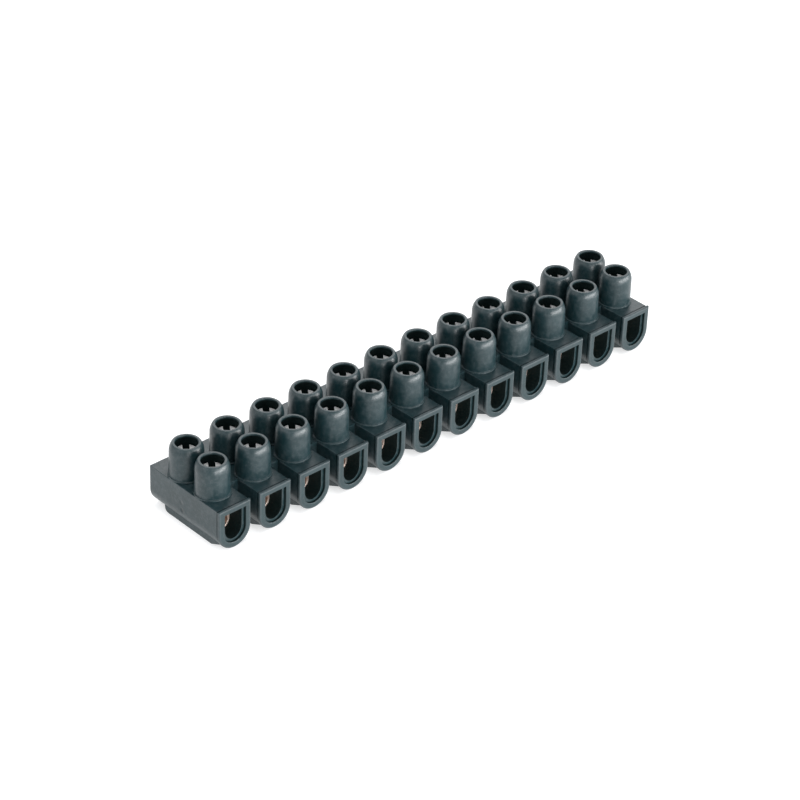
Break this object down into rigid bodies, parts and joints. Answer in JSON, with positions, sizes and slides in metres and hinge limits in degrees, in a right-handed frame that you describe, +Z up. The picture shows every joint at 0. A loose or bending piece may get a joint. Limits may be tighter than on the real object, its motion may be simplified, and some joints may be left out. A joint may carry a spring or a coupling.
{
  "type": "terminal strip",
  "caption": "Black moulded terminal strip: poles joined by webs, each with a brass contact tube, a wire mouth at both ends and two round towers that hold slotted clamp screws.",
  "frame": {"origin": "middle of the strip on the plane of its underside", "axes": "+X along the row of poles, -Y towards the front wire mouths, +Z up the screw towers"},
  "size_m": [0.0942, 0.017, 0.0132],
  "materials": {
    "housing": "satin black",
    "contact": "drawn",
    "screw": "bright plated"
  },
  "bodies": {
    "strip": {"housing": "housing", "contact_tube_01": "contact", "contact_tube_02": "contact", "contact_tube_03": "contact", "contact_tube_04": "contact", "contact_tube_05": "contact", "contact_tube_06": "contact", "contact_tube_07": "contact", "contact_tube_08": "contact", "contact_tube_09": "contact", "contact_tube_10": "contact", "contact_tube_11": "contact", "contact_tube_12": "contact"},
    "front_screw_01": {"front_screw_01": "screw"},
    "back_screw_01": {"back_screw_01": "screw"},
    "front_screw_02": {"front_screw_02": "screw"},
    "back_screw_02": {"back_screw_02": "screw"},
    "front_screw_03": {"front_screw_03": "screw"},
    "back_screw_03": {"back_screw_03": "screw"},
    "front_screw_04": {"front_screw_04": "screw"},
    "back_screw_04": {"back_screw_04": "screw"},
    "front_screw_05": {"front_screw_05": "screw"},
    "back_screw_05": {"back_screw_05": "screw"},
    "front_screw_06": {"front_screw_06": "screw"},
    "back_screw_06": {"back_screw_06": "screw"},
    "front_screw_07": {"front_screw_07": "screw"},
    "back_screw_07": {"back_screw_07": "screw"},
    "front_screw_08": {"front_screw_08": "screw"},
    "back_screw_08": {"back_screw_08": "screw"},
    "front_screw_09": {"front_screw_09": "screw"},
    "back_screw_09": {"back_screw_09": "screw"},
    "front_screw_10": {"front_screw_10": "screw"},
    "back_screw_10": {"back_screw_10": "screw"},
    "front_screw_11": {"front_screw_11": "screw"},
    "back_screw_11": {"back_screw_11": "screw"},
    "front_screw_12": {"front_screw_12": "screw"},
    "back_screw_12": {"back_screw_12": "screw"}
  },
  "joints": [
    {"name": "front_screw_01_travel", "type": "slide", "parent": "strip", "child": "front_screw_01", "axis": [0, 0, 1], "range_m": [-0.0015, 0.001]},
    {"name": "back_screw_01_travel", "type": "slide", "parent": "strip", "child": "back_screw_01", "axis": [0, 0, 1], "range_m": [-0.0015, 0.001]},
    {"name": "front_screw_02_travel", "type": "slide", "parent": "strip", "child": "front_screw_02", "axis": [0, 0, 1], "range_m": [-0.0015, 0.001]},
    {"name": "back_screw_02_travel", "type": "slide", "parent": "strip", "child": "back_screw_02", "axis": [0, 0, 1], "range_m": [-0.0015, 0.001]},
    {"name": "front_screw_03_travel", "type": "slide", "parent": "strip", "child": "front_screw_03", "axis": [0, 0, 1], "range_m": [-0.0015, 0.001]},
    {"name": "back_screw_03_travel", "type": "slide", "parent": "strip", "child": "back_screw_03", "axis": [0, 0, 1], "range_m": [-0.0015, 0.001]},
    {"name": "front_screw_04_travel", "type": "slide", "parent": "strip", "child": "front_screw_04", "axis": [0, 0, 1], "range_m": [-0.0015, 0.001]},
    {"name": "back_screw_04_travel", "type": "slide", "parent": "strip", "child": "back_screw_04", "axis": [0, 0, 1], "range_m": [-0.0015, 0.001]},
    {"name": "front_screw_05_travel", "type": "slide", "parent": "strip", "child": "front_screw_05", "axis": [0, 0, 1], "range_m": [-0.0015, 0.001]},
    {"name": "back_screw_05_travel", "type": "slide", "parent": "strip", "child": "back_screw_05", "axis": [0, 0, 1], "range_m": [-0.0015, 0.001]},
    {"name": "front_screw_06_travel", "type": "slide", "parent": "strip", "child": "front_screw_06", "axis": [0, 0, 1], "range_m": [-0.0015, 0.001]},
    {"name": "back_screw_06_travel", "type": "slide", "parent": "strip", "child": "back_screw_06", "axis": [0, 0, 1], "range_m": [-0.0015, 0.001]},
    {"name": "front_screw_07_travel", "type": "slide", "parent": "strip", "child": "front_screw_07", "axis": [0, 0, 1], "range_m": [-0.0015, 0.001]},
    {"name": "back_screw_07_travel", "type": "slide", "parent": "strip", "child": "back_screw_07", "axis": [0, 0, 1], "range_m": [-0.0015, 0.001]},
    {"name": "front_screw_08_travel", "type": "slide", "parent": "strip", "child": "front_screw_08", "axis": [0, 0, 1], "range_m": [-0.0015, 0.001]},
    {"name": "back_screw_08_travel", "type": "slide", "parent": "strip", "child": "back_screw_08", "axis": [0, 0, 1], "range_m": [-0.0015, 0.001]},
    {"name": "front_screw_09_travel", "type": "slide", "parent": "strip", "child": "front_screw_09", "axis": [0, 0, 1], "range_m": [-0.0015, 0.001]},
    {"name": "back_screw_09_travel", "type": "slide", "parent": "strip", "child": "back_screw_09", "axis": [0, 0, 1], "range_m": [-0.0015, 0.001]},
    {"name": "front_screw_10_travel", "type": "slide", "parent": "strip", "child": "front_screw_10", "axis": [0, 0, 1], "range_m": [-0.0015, 0.001]},
    {"name": "back_screw_10_travel", "type": "slide", "parent": "strip", "child": "back_screw_10", "axis": [0, 0, 1], "range_m": [-0.0015, 0.001]},
    {"name": "front_screw_11_travel", "type": "slide", "parent": "strip", "child": "front_screw_11", "axis": [0, 0, 1], "range_m": [-0.0015, 0.001]},
    {"name": "back_screw_11_travel", "type": "slide", "parent": "strip", "child": "back_screw_11", "axis": [0, 0, 1], "range_m": [-0.0015, 0.001]},
    {"name": "front_screw_12_travel", "type": "slide", "parent": "strip", "child": "front_screw_12", "axis": [0, 0, 1], "range_m": [-0.0015, 0.001]},
    {"name": "back_screw_12_travel", "type": "slide", "parent": "strip", "child": "back_screw_12", "axis": [0, 0, 1], "range_m": [-0.0015, 0.001]}
  ]
}
